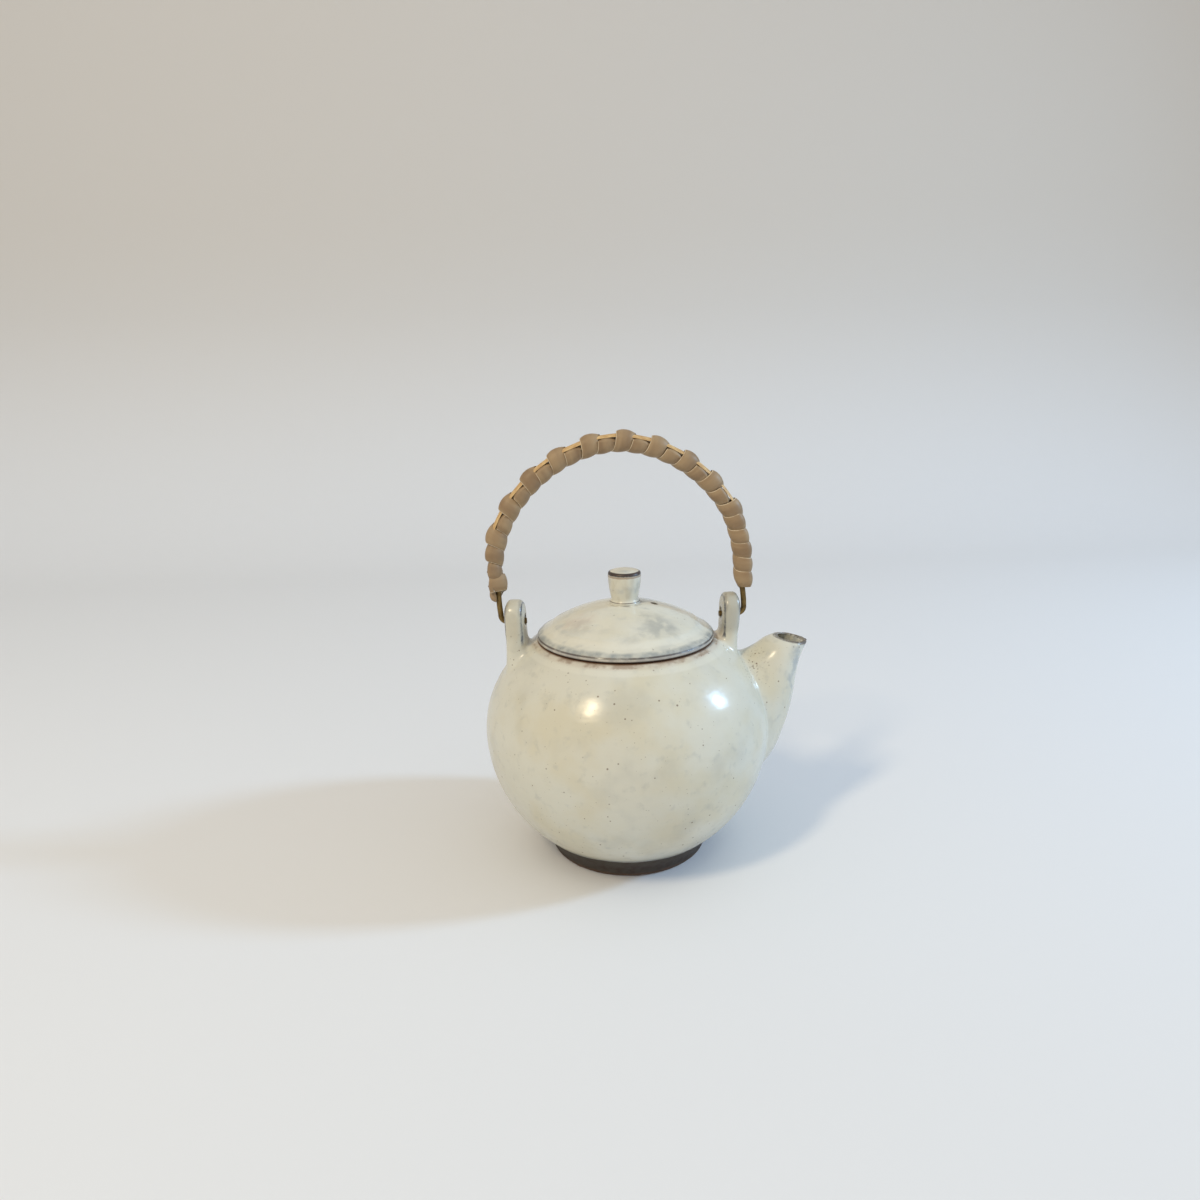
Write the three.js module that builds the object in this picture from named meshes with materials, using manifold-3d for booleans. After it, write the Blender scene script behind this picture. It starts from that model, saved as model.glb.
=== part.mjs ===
// A stoneware teapot with a strip-wound wire bail handle.
// Millimetres, Z up. The spout points along +X and the bail stands in the XZ plane.
import * as THREE from 'three';
import { mergeVertices } from 'three/addons/utils/BufferGeometryUtils.js';
import Module from 'manifold-3d';

const wasm = await Module();
wasm.setup();

// Driving dimensions of the thrown body
const bodyRadius = 63; // at the belly, the widest place
const bellyHeight = 57.8; // the belly above the table
const bellyRise = 51.4; // half axis of the upper ellipse
const bellyDrop = 61.7; // half axis of the lower ellipse
const wall = 4;
const glazeHeight = 10.7; // the glaze ends here, and the trimmed clay shows below it
const footRadius = 35;
const footFlare = 0.6; // the foot ring widens by this much upwards
const footHeight = 3.7;
const footWidth = 5;
const footRecess = 4; // hollow under the pot, inside the foot ring
const floorThickness = 4.5;
const edgeRound = 0.6;

// The mouth and the lid that sits on it
const mouthHeight = 98.5;
const mouthRadius = 34;
const mouthWidth = 5.6; // flat shelf round the mouth
const mouthLipDepth = 1.9; // straight inner wall of the mouth
const mouthLipReach = 2.85; // the lip reaches in over the body's hollow by this much
const collarHeight = 1.6; // low collar between shoulder and shelf
const seatGap = 0.3; // between fired pieces that touch
const lidInset = 0.85; // the lid is this much smaller than the shelf
const lidRimThickness = 2.3;
const domeRise = 13;
const lidWall = 3.5;
const flangeDepth = 6;
const flangeThickness = 3;
const flangeClearance = 0.8;
const knobRadius = 7.3;
const knobNeckRadius = 6.2;
const knobBaseRadius = 8.1;
const knobHeight = 15.2;
const steamHoleRadius = 1.3;
const steamHoleReach = 12.9; // from the lid's axis

// The spout
const spoutTipReach = 81.3; // pouring lip, from the pot's axis
const spoutTipHeight = 92.1;
const spoutNeckDrop = 3.5; // the dip behind the spout lies this far below its tip
const spoutDrop = 64; // and the spout's root, under the belly's skin, this far
const spoutMouthLength = 14.9;
const spoutMouthTilt = 16; // degrees that the mouth leans down towards the lip
const spoutMouthWidth = 14.8;
const spoutBaseWidth = 44;
const spoutTaper = 1.25; // above 1, it narrows faster towards the mouth
const spoutWall = 3.2; // at its root
const spoutLipWall = 2.1;
const strainerHoleRadius = 1.5;
const strainerPitch = 7;
const strainerHeight = 62;

// The lugs and the wire in them
const lugCentre = 47.6;
const lugShift = -1.2; // both lugs stand this much towards the back of the pot
const lugThickness = 7.6;
const lugWidth = 14;
const lugRise = 18.1; // top of the lug above the mouth
const lugRoot = 13; // its foot lies this far below the mouth, inside the shoulder
const lugLean = 5; // degrees that its outer face leans out
const lugFlare = 3; // how far its foot spreads
const hingeHeight = 107;
const lugHoleRadius = 2.1;
const wireRadius = 1.2;
const wireGap = 0.3; // between the wire and the bottom of its hole
const hookGap = 1; // between the lug's outer face and the wire's leg
const hookBend = 2.8;
const hookTip = 1.7; // how far the wire's end stands inside the lug
const archRadius = 52.2; // of the wire
const archLean = -1.75; // the arch leans towards the back of the pot
const archHeight = 129.7; // centre of the arch above the table

// The canes on the wire, and the strip wound round them
const layerGap = 0.3;
const caneHalfWidth = 1.6;
const caneHalfThickness = 1.1;
const caneNesting = 0.65; // the canes sit this share of their half thickness above the wire
const leaderHalfWidth = 1.9;
const leaderThickness = 0.7;
const leaderEnd = 0.4; // turns that it runs on beyond its last tuck
const stripWidth = 5.9;
const stripThickness = 0.7;
const turns = 24;
const bareWireBack = 10.5; // from the hinge to the wrapping, on the back leg
const bareWireSpout = 7.7; // and on the spout's leg
const stripEndRun = 3.2; // straight ends of the strip
const taperLength = 8; // the wrapping thins to its ends over this length
const taperedFullness = 0.5;
const taperSlack = 0.4; // the strip stands this much further off the bare wire at its ends

const bodySegments = 48;
const lidSegments = 40;

const glaze = { color: '#d9d8c4', roughness: 0.22, metalness: 0 };
const brass = { color: '#6e5c30', roughness: 0.4, metalness: 0.9 };
const cane = { color: '#c9a872', roughness: 0.55, metalness: 0 };
const wrapping = { color: '#a08768', roughness: 0.6, metalness: 0 };

const teapot = new THREE.Group();

function addPiece(name, geometry, finish) {
  const piece = new THREE.Mesh(geometry, new THREE.MeshStandardMaterial(finish));
  piece.name = name;
  teapot.add(piece);
}

function mix(from, to, share) {
  return from + (to - from) * share;
}

// Booleans work on merged vertices that hold only a position.
function toSolid(geometry) {
  const plain = geometry.clone();
  plain.deleteAttribute('normal');
  plain.deleteAttribute('uv');
  const merged = mergeVertices(plain, 1e-4);
  const vertProperties = new Float32Array(merged.attributes.position.array);
  const triVerts = new Uint32Array(merged.index.array);
  return new wasm.Manifold(new wasm.Mesh({ numProp: 3, vertProperties, triVerts }));
}

function toGeometry(solid) {
  const mesh = solid.getMesh();
  const geometry = new THREE.BufferGeometry();
  geometry.setAttribute('position', new THREE.BufferAttribute(new Float32Array(mesh.vertProperties), 3));
  geometry.setIndex(new THREE.BufferAttribute(new Uint32Array(mesh.triVerts), 1));
  return geometry;
}

// A closed skin over rings of points, listed so that its faces point outwards.
function loft(rings) {
  const sides = rings[0].length;
  const last = (rings.length - 1) * sides;
  const positions = rings.flat().flatMap((point) => [point.x, point.y, point.z]);
  const faces = [];
  for (let start = 0; start < last; start += sides) {
    for (let side = 0; side < sides; side++) {
      const here = start + side;
      const next = start + ((side + 1) % sides);
      faces.push(here, next, here + sides);
      faces.push(next, next + sides, here + sides);
    }
  }
  for (let side = 1; side < sides - 1; side++) {
    faces.push(0, side + 1, side);
    faces.push(last, last + side, last + side + 1);
  }
  const geometry = new THREE.BufferGeometry();
  geometry.setAttribute('position', new THREE.Float32BufferAttribute(positions, 3));
  geometry.setIndex(faces);
  return geometry;
}

// A point of a superellipse, at an angle from its top. A power of 2 gives a plain ellipse.
function roundedPoint(angle, halfWidth, halfHeight, power) {
  const across = Math.sin(angle);
  const up = Math.cos(angle);
  return new THREE.Vector2(
    Math.sign(across) * halfWidth * Math.abs(across) ** (2 / power),
    Math.sign(up) * halfHeight * Math.abs(up) ** (2 / power),
  );
}

// A lathe profile is (radius, height), and is turned about Z here.
function turn(profile, segments) {
  return new THREE.LatheGeometry(profile, segments).rotateX(Math.PI / 2);
}

// A round cutter of a given length, its axis along X and its middle at a place.
function crossDrill(radius, length, x, y, z) {
  const cutter = new THREE.CylinderGeometry(radius, radius, length, 12);
  return toSolid(cutter.rotateZ(Math.PI / 2).translate(x, y, z));
}

// Part of the belly: two ellipse quarters that meet at the widest place.
function bellyCurve(lowestRadius, highestRadius, inset) {
  const radius = bodyRadius - inset;
  const lowest = -Math.acos(lowestRadius / radius);
  const highest = Math.acos(highestRadius / radius);
  const steps = 6;
  const points = [];
  for (let step = -steps; step <= steps; step++) {
    const angle = (Math.abs(step) / steps) * (step < 0 ? lowest : highest);
    const halfAxis = (step < 0 ? bellyDrop : bellyRise) - inset;
    points.push(new THREE.Vector2(radius * Math.cos(angle), bellyHeight + halfAxis * Math.sin(angle)));
  }
  return points;
}

function bellyRadiusAt(height, inset) {
  const halfAxis = (height < bellyHeight ? bellyDrop : bellyRise) - inset;
  return (bodyRadius - inset) * Math.sqrt(1 - ((height - bellyHeight) / halfAxis) ** 2);
}

// The outside of the body, closed over the mouth, with the hollow of the foot ring.
function makeBodyOuter() {
  const footInner = footRadius - footWidth;
  const shelfRadius = mouthRadius + mouthWidth;
  const collarFoot = mouthHeight - collarHeight;
  const profile = [
    new THREE.Vector2(0, footRecess),
    new THREE.Vector2(footInner, footRecess),
    new THREE.Vector2(footInner, edgeRound),
    new THREE.Vector2(footInner + edgeRound, 0),
    new THREE.Vector2(footRadius - edgeRound, 0),
    new THREE.Vector2(footRadius, edgeRound),
    new THREE.Vector2(footRadius + footFlare, footHeight),
    ...bellyCurve(bellyRadiusAt(glazeHeight, 0), bellyRadiusAt(collarFoot, 0), 0),
    new THREE.Vector2(shelfRadius, mouthHeight - edgeRound),
    new THREE.Vector2(shelfRadius - edgeRound, mouthHeight),
    new THREE.Vector2(0, mouthHeight),
  ];
  return toSolid(turn(profile, bodySegments));
}

// The hollow of the body and of its mouth.
function makeCavity() {
  const floor = footRecess + floorThickness;
  const profile = [
    new THREE.Vector2(0, floor),
    ...bellyCurve(bellyRadiusAt(floor, wall), mouthRadius + mouthLipReach, wall),
    new THREE.Vector2(mouthRadius, mouthHeight - mouthLipDepth),
    new THREE.Vector2(mouthRadius, mouthHeight + wall),
    new THREE.Vector2(0, mouthHeight + wall),
  ];
  return toSolid(turn(profile, bodySegments));
}

// A smooth outline between two corners, through places given as shares of the way across and up.
function outlineBetween(from, to, shares) {
  const placeAt = ([across, up]) => new THREE.Vector2(mix(from.x, to.x, across), mix(from.y, to.y, up));
  return new THREE.SplineCurve(shares.map(placeAt));
}

// The spout's upper and lower outlines in the XZ plane, from its root to its mouth.
function spoutOutlines() {
  const tip = new THREE.Vector2(spoutTipReach, spoutTipHeight);
  const tilt = THREE.MathUtils.degToRad(spoutMouthTilt);
  const heel = new THREE.Vector2(-Math.cos(tilt), Math.sin(tilt)).multiplyScalar(spoutMouthLength).add(tip);
  const neckHeight = spoutTipHeight - spoutNeckDrop;
  const neck = new THREE.Vector2(bellyRadiusAt(neckHeight, 0), neckHeight);
  const belly = new THREE.Vector2(bodyRadius, spoutTipHeight - spoutDrop);
  const upperShares = [[-0.42, -0.72], [0.06, -0.05], [0.46, 0.38], [0.76, 0.82], [1, 1]];
  const lowerShares = [[-0.6, 0], [0.16, 0.17], [0.51, 0.36], [0.68, 0.59], [0.8, 0.87], [1, 1]];
  const upper = outlineBetween(neck, heel, upperShares);
  const lower = outlineBetween(belly, tip, lowerShares);
  return { upper, lower };
}

// The spout's skin, drawn in by its wall for the channel, which then runs out past the mouth.
function makeSpout(rootInset, lipInset, overrun) {
  const { upper, lower } = spoutOutlines();
  const stations = 9;
  const sides = 24;
  const rings = [];
  for (let station = 0; station <= stations; station++) {
    const along = station / stations;
    const top = upper.getPoint(along);
    const bottom = lower.getPoint(along);
    const inset = mix(rootInset, lipInset, along);
    const middle = top.clone().add(bottom).multiplyScalar(0.5);
    const down = bottom.clone().sub(top);
    const halfLength = down.length() / 2 - inset;
    const halfWidth = mix(spoutBaseWidth, spoutMouthWidth, along ** spoutTaper) / 2 - inset;
    down.normalize();
    const ring = [];
    for (let side = 0; side < sides; side++) {
      const point = roundedPoint((-side / sides) * 2 * Math.PI, halfWidth, halfLength, 2);
      ring.push(new THREE.Vector3(middle.x - down.x * point.y, point.x, middle.y - down.y * point.y));
    }
    rings.push(ring);
  }
  if (overrun > 0) {
    const tilt = THREE.MathUtils.degToRad(spoutMouthTilt);
    const out = new THREE.Vector3(Math.sin(tilt), 0, Math.cos(tilt)).multiplyScalar(overrun);
    rings.push(rings[stations].map((point) => point.clone().add(out)));
  }
  return toSolid(loft(rings));
}

// A middle hole and a ring of six, pierced through the wall behind the spout.
function makeStrainerHoles() {
  const wallMiddle = bellyRadiusAt(strainerHeight, wall / 2);
  const holes = [[0, 0]];
  for (let hole = 0; hole < 6; hole++) {
    const angle = (hole / 6) * 2 * Math.PI;
    holes.push([strainerPitch * Math.cos(angle), strainerPitch * Math.sin(angle)]);
  }
  return holes.map(([y, up]) => crossDrill(strainerHoleRadius, 3 * wall, wallMiddle, y, strainerHeight + up));
}

// A tongue of clay that grows out of the shoulder and rounds over at its top.
// Its outer face leans out a little, and its inner face spreads towards the mouth at its foot.
function makeLug(side) {
  const top = mouthHeight + lugRise;
  const roundHeight = lugWidth / 2;
  const root = mouthHeight - lugRoot;
  const lean = THREE.MathUtils.degToRad(lugLean);
  const squareness = 4;
  const shoulderPower = 0.45; // the faces draw together slowly, then fast, towards the top
  const rings = [];
  function addRing(height, inner, outer, halfWidth) {
    const ring = [];
    for (let step = 0; step < 16; step++) {
      const point = roundedPoint((step / 16) * 2 * Math.PI, (outer - inner) / 2, halfWidth, squareness);
      const out = lugShift + side * ((outer + inner) / 2 + point.x);
      ring.push(new THREE.Vector3(out, -side * point.y, height));
    }
    rings.push(ring);
  }
  const straight = 6;
  for (let step = 0; step <= straight; step++) {
    const along = step / straight;
    const height = mix(root, top - roundHeight, along);
    const outer = lugCentre + lugThickness / 2 - (top - roundHeight - height) * Math.tan(lean);
    const flare = lugFlare * (1 - along) ** 3;
    addRing(height, lugCentre - lugThickness / 2 - flare, outer, lugWidth / 2 + flare);
  }
  const steps = 5;
  const lastAngle = THREE.MathUtils.degToRad(81);
  for (let step = 1; step <= steps; step++) {
    const angle = (step / steps) * lastAngle;
    const halfThickness = (lugThickness / 2) * Math.cos(angle) ** shoulderPower;
    const height = top - roundHeight * (1 - Math.sin(angle) / Math.sin(lastAngle));
    addRing(height, lugCentre - halfThickness, lugCentre + halfThickness, (lugWidth / 2) * Math.cos(angle));
  }
  return toSolid(loft(rings));
}

function makePot() {
  const outer = makeBodyOuter();
  const channel = makeSpout(spoutWall, spoutLipWall, spoutLipWall * 2).subtract(outer);
  const holeHeight = hingeHeight + lugHoleRadius - wireRadius - wireGap;
  let pot = outer.add(makeSpout(0, 0, 0));
  for (const side of [-1, 1]) {
    pot = pot.add(makeLug(side));
  }
  pot = pot.subtract(makeCavity()).subtract(channel);
  for (const hole of makeStrainerHoles()) {
    pot = pot.subtract(hole);
  }
  for (const side of [-1, 1]) {
    const middle = lugShift + side * lugCentre;
    pot = pot.subtract(crossDrill(lugHoleRadius, lugThickness * 2, middle, 0, holeHeight));
  }
  return toGeometry(pot);
}

// Height of the lid's outside above its seat: a dome that runs out into a flatter brim.
function domeHeight(radius) {
  const share = radius / (mouthRadius + mouthWidth - lidInset);
  const brim = 0.6 * Math.exp(-(((share - 0.9) / 0.1) ** 2));
  return lidRimThickness + Math.max(domeRise * (1 - share ** 2) - brim, 0);
}

function makeLid() {
  const seat = mouthHeight + seatGap;
  const lidRadius = mouthRadius + mouthWidth - lidInset;
  const flangeOuter = mouthRadius - flangeClearance;
  const flangeInner = flangeOuter - flangeThickness;
  const steps = 7;
  const underside = [];
  const outside = [];
  for (let step = 0; step <= steps; step++) {
    const inner = mix(0, flangeInner - edgeRound, step / steps);
    underside.push(new THREE.Vector2(inner, seat + domeHeight(inner) - lidWall));
    const outer = mix(lidRadius - edgeRound, knobBaseRadius, step / steps);
    outside.push(new THREE.Vector2(outer, seat + domeHeight(outer)));
  }
  const knobFoot = seat + domeHeight(knobBaseRadius);
  const knobTop = knobFoot + knobHeight;
  const knob = [
    [knobNeckRadius + edgeRound, 0.07],
    [knobNeckRadius, 0.21],
    [mix(knobNeckRadius, knobRadius, 0.4), 0.54],
    [knobRadius, 0.86],
    [knobRadius - edgeRound / 3, 0.93],
    [knobRadius - edgeRound * 2.3, 0.98],
  ];
  const profile = [
    ...underside,
    new THREE.Vector2(flangeInner, seat),
    new THREE.Vector2(flangeInner, seat - flangeDepth),
    new THREE.Vector2(flangeOuter, seat - flangeDepth),
    new THREE.Vector2(flangeOuter, seat),
    new THREE.Vector2(lidRadius - edgeRound, seat),
    new THREE.Vector2(lidRadius, seat + edgeRound),
    new THREE.Vector2(lidRadius, seat + lidRimThickness - edgeRound / 2),
    ...outside,
    ...knob.map(([radius, share]) => new THREE.Vector2(radius, mix(knobFoot, knobTop, share))),
    new THREE.Vector2(0, knobTop),
  ];
  const steamHole = new THREE.CylinderGeometry(steamHoleRadius, steamHoleRadius, lidWall * 4, 12);
  steamHole.rotateX(Math.PI / 2);
  steamHole.translate(steamHoleReach, 0, seat + domeHeight(steamHoleReach));
  return toGeometry(toSolid(turn(profile, lidSegments)).subtract(toSolid(steamHole)));
}

// The wire's middle line in the XZ plane: hook, back leg, arch, spout leg, hook.
const hookReach = lugCentre + lugThickness / 2 + hookGap + wireRadius;
const hookStart = lugCentre - lugThickness / 2 - hookTip;
const legFoot = hingeHeight + hookBend;
const legMiddle = (legFoot + archHeight) / 2;
const backLeg = lugShift - hookReach;
const spoutLeg = lugShift + hookReach;
const backSpring = archLean - archRadius;
const spoutSpring = archLean + archRadius;
const wireRoute = new THREE.Path();
wireRoute.moveTo(lugShift - hookStart, hingeHeight);
wireRoute.lineTo(backLeg + hookBend, hingeHeight);
wireRoute.absarc(backLeg + hookBend, legFoot, hookBend, -Math.PI / 2, -Math.PI, true);
wireRoute.bezierCurveTo(backLeg, legMiddle, backSpring, legMiddle, backSpring, archHeight);
wireRoute.absarc(archLean, archHeight, archRadius, Math.PI, 0, true);
wireRoute.bezierCurveTo(spoutSpring, legMiddle, spoutLeg, legMiddle, spoutLeg, legFoot);
wireRoute.absarc(spoutLeg - hookBend, legFoot, hookBend, 0, -Math.PI / 2, true);
wireRoute.lineTo(lugShift + hookStart, hingeHeight);
const wireLength = wireRoute.getLength();
const hookLength = hookReach - hookBend - hookStart;
const bendLength = (hookBend * Math.PI) / 2;

// A place beside the wire: along its length, across it in Y, and out from the arch's middle.
function besideWire(along, across, out) {
  const share = along / wireLength;
  const middle = wireRoute.getPoint(share);
  const ahead = wireRoute.getTangent(share);
  return new THREE.Vector3(middle.x - ahead.y * out, across, middle.y + ahead.x * out);
}

function evenStations(from, to, steps) {
  return Array.from({ length: steps + 1 }, (_, step) => mix(from, to, step / steps));
}

// A bar that follows the wire. Its section gives (across, out) for a side and a place along it.
function makeBar(stations, sides, section) {
  const rings = stations.map((along) => {
    const ring = [];
    for (let side = 0; side < sides; side++) {
      const point = section((-side / sides) * 2 * Math.PI, along);
      ring.push(besideWire(along, point.x, point.y));
    }
    return ring;
  });
  return loft(rings);
}

function makeWire() {
  const legsFrom = hookLength + bendLength;
  const stations = [
    0,
    ...evenStations(hookLength, legsFrom, 4),
    ...evenStations(legsFrom, wireLength - legsFrom, 36).slice(1, -1),
    ...evenStations(wireLength - legsFrom, wireLength - hookLength, 4),
    wireLength,
  ];
  return makeBar(stations, 8, (angle) => roundedPoint(angle, wireRadius, wireRadius, 2));
}

// Places along the wire where the wrapping begins and ends, and its pitch.
const wrapStart = hookLength + bendLength + bareWireBack - hookBend + stripWidth / 2;
const wrapEnd = wireLength - (hookLength + bendLength + bareWireSpout - hookBend + stripWidth / 2);
const pitch = (wrapEnd - wrapStart) / turns;

// The two filler canes lie side by side on the outside of the wire.
const caneOut = wireRadius + layerGap + caneHalfThickness * caneNesting;
const caneAcross = layerGap + caneHalfWidth;
const caneTop = caneOut + caneHalfThickness;
const caneStations = evenStations(wrapStart + taperLength, wrapEnd - taperLength, 30);

function makeCane(side) {
  return makeBar(caneStations, 8, (angle) => {
    const point = roundedPoint(angle, caneHalfWidth, caneHalfThickness, 2);
    return point.add(new THREE.Vector2(side * caneAcross, caneOut));
  });
}

// Turns of the strip: plain ones lie on the canes, tucking ones hold down the leader's ends,
// and between them every second turn is passed over the leader.
const firstTuck = 3;
const firstWoven = 5;
const lastWoven = turns - 5;
const lastTuck = turns - 3;

// The leader bridges from one overturn to the next, and dives under the tucking turns.
function leaderOut(along) {
  const turn = (along - wrapStart) / pitch;
  const tucked = caneTop + layerGap;
  const woven = tucked + stripThickness + layerGap;
  const risen = Math.min(turn - firstWoven, lastWoven - turn);
  return mix(tucked, woven, THREE.MathUtils.smoothstep(risen, -0.5, 0.5));
}

function makeLeader() {
  const squareness = 2.6;
  const fromEnd = (firstTuck - leaderEnd) * pitch;
  const stations = evenStations(wrapStart + fromEnd, wrapEnd - fromEnd, 36);
  return makeBar(stations, 6, (angle, along) => {
    const point = roundedPoint(angle, leaderHalfWidth, leaderThickness / 2, squareness);
    return point.add(new THREE.Vector2(0, leaderOut(along) + leaderThickness / 2));
  });
}

// How high the strip's middle stands over the canes' middle line at the outer side of a turn.
function turnShape(turn) {
  const plain = caneHalfThickness + layerGap + stripThickness / 2;
  const tucking = plain + leaderThickness + layerGap;
  const over = tucking + stripThickness + layerGap + layerGap / 2;
  if (turn < firstTuck || turn > lastTuck) {
    return { height: plain, power: 3 };
  }
  if (turn < firstWoven || turn > lastWoven) {
    return { height: tucking, power: 3 };
  }
  return turn % 2 === 1 ? { height: over, power: 2.4 } : { height: plain, power: 3 };
}

// The strip's route round the canes and the wire, with 1 for each turn.
function stripMiddle(turn, along) {
  const fromEnd = Math.min(along - wrapStart, wrapEnd - along);
  const full = mix(taperedFullness, 1, THREE.MathUtils.smoothstep(fromEnd, 0, taperLength));
  const halfWidth = caneAcross + caneHalfWidth + layerGap + stripThickness / 2;
  const inside = wireRadius + layerGap + stripThickness / 2;
  const angle = turn * 2 * Math.PI;
  const upper = turnShape(Math.round(turn));
  const place =
    Math.cos(angle) > 0
      ? roundedPoint(angle, halfWidth, upper.height, upper.power)
      : roundedPoint(angle, halfWidth, caneOut + inside, 2.2);
  place.y += caneOut;
  const thin = roundedPoint(angle, inside + taperSlack, inside + taperSlack, 2);
  return new THREE.Vector2(mix(thin.x, place.x, full), mix(thin.y, place.y, full));
}

function stripFrame(turn) {
  const along = wrapStart + turn * pitch;
  const nudge = 0.004;
  const at = (t, s) => {
    const point = stripMiddle(t, s);
    return besideWire(s, point.x, point.y);
  };
  const middle = at(turn, along);
  const further = at(turn + nudge, along + nudge * pitch);
  const ahead = further.sub(at(turn - nudge, along - nudge * pitch)).normalize();
  const round = at(turn + nudge, along).sub(at(turn - nudge, along));
  const wireAhead = besideWire(along + nudge, 0, 0).sub(besideWire(along - nudge, 0, 0));
  const outward = wireAhead.cross(round).normalize();
  const sideways = outward.clone().cross(ahead).normalize();
  return { middle, ahead, sideways, outward: ahead.clone().cross(sideways).normalize() };
}

const stripSteps = 24;
// The strip's six-sided section, as (sideways, outward) shares of its half sizes
const stripSection = [[-1, 0], [-0.75, -1], [0.75, -1], [1, 0], [0.75, 1], [-0.75, 1]];

function makeStripRings() {
  const rings = [];
  const steps = turns * stripSteps;
  for (let step = 0; step <= steps; step++) {
    const { middle, ahead, sideways, outward } = stripFrame(step / stripSteps);
    const ring = stripSection.map(([side, out]) => {
      const point = middle.clone().addScaledVector(sideways, (side * stripWidth) / 2);
      return point.addScaledVector(outward, (out * stripThickness) / 2);
    });
    const straight = (distance) => ring.map((point) => point.clone().addScaledVector(ahead, distance));
    if (step === 0) rings.push(straight(-stripEndRun));
    rings.push(ring);
    if (step === steps) rings.push(straight(stripEndRun));
  }
  return rings;
}

// The least distance between points of the strip that lie more than half a turn apart.
function leastGap(rings) {
  const fine = [];
  for (let step = 0; step < rings.length - 1; step++) {
    for (const share of [0, 0.25, 0.5, 0.75]) {
      fine.push(rings[step].map((point, side) => point.clone().lerp(rings[step + 1][side], share)));
    }
  }
  let least = Infinity;
  const halfTurn = stripSteps * 2;
  for (let here = 0; here < fine.length; here++) {
    for (let there = here + halfTurn; there < Math.min(here + 3 * halfTurn, fine.length); there++) {
      for (const point of fine[here]) {
        for (const other of fine[there]) {
          least = Math.min(least, point.distanceTo(other));
        }
      }
    }
  }
  return least;
}

addPiece('pot', makePot(), glaze);
addPiece('lid', makeLid(), glaze);
addPiece('handle_wire', makeWire(), brass);
addPiece('core_cane_front', makeCane(-1), cane);
addPiece('core_cane_back', makeCane(1), cane);
addPiece('leader_cane', makeLeader(), cane);
const stripRings = makeStripRings();
console.log(`Least gap of the strip to itself: ${leastGap(stripRings).toFixed(2)} mm`);
addPiece('wrap_strip', loft(stripRings), wrapping);

// The part's origin is on the table, under the middle of its length.
teapot.position.x = (bodyRadius - spoutTipReach) / 2;

export default teapot;
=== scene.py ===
import random
from math import copysign, cos, exp, floor, hypot, pi, radians, sin, sqrt, tan

import bpy
import numpy as np
from mathutils import Matrix, Vector


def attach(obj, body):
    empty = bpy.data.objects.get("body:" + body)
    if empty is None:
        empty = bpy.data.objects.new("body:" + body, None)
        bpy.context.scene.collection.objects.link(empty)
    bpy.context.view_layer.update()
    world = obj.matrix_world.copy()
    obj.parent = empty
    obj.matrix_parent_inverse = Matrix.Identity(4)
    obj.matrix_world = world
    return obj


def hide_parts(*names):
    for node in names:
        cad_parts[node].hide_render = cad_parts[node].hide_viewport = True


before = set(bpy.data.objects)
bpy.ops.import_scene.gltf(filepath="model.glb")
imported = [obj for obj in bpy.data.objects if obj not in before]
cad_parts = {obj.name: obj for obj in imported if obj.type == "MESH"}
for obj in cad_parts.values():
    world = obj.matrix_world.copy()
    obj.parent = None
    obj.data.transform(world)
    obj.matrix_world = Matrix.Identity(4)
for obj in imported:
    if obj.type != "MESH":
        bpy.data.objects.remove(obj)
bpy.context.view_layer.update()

mm = 0.001
axisX = -9.15  # the pot's axis; the spout points along +X
fullTurn = 2 * pi
weldDistance = 0.002
smoothAngle = radians(50)


def mix(start, end, share):
    return start + (end - start) * share


def smooth(value, start, end):
    share = min(max((value - start) / (end - start), 0), 1)
    return share * share * (3 - 2 * share)


# A bump of height 1 at a place, which falls off over a width.
def hump(value, place, width):
    return exp(-(((value - place) / width) ** 2))


# A smooth line through points, at a share of its spans.
def through(points, share):
    last = len(points) - 1
    index = min(int(share * last), last - 1)
    part = share * last - index
    before, start, end, after = (points[min(max(index + step, 0), last)] for step in (-1, 0, 1, 2))
    leaving = (end - before) / 2
    arriving = (after - start) / 2
    cubic = 2 * start - 2 * end + leaving + arriving
    square = 3 * end - 3 * start - 2 * leaving - arriving
    return cubic * part**3 + square * part**2 + leaving * part + start


# A point of a superellipse at an angle from its top, as (across, up).
def rounded(angle, halfWidth, halfHeight, power):
    across = copysign(abs(sin(angle)) ** (2 / power), sin(angle))
    up = copysign(abs(cos(angle)) ** (2 / power), cos(angle))
    return halfWidth * across, halfHeight * up


def deselectAll():
    for thing in bpy.context.selected_objects:
        thing.select_set(False)


def makeActive(piece):
    deselectAll()
    piece.select_set(True)
    bpy.context.view_layer.objects.active = piece


def addModifier(piece, kind, **settings):
    makeActive(piece)
    modifier = piece.modifiers.new(kind, kind)
    for name, value in settings.items():
        setattr(modifier, name, value)
    bpy.ops.object.modifier_apply(modifier=modifier.name)


def finishMesh(piece, name):
    bpy.ops.mesh.select_all(action="SELECT")
    bpy.ops.mesh.remove_doubles(threshold=weldDistance * mm)
    bpy.ops.mesh.fill_holes(sides=0)
    bpy.ops.mesh.normals_make_consistent(inside=False)
    bpy.ops.object.mode_set(mode="OBJECT")
    bpy.ops.object.transform_apply(location=True, rotation=True, scale=True)
    piece.name = name
    return piece


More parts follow.
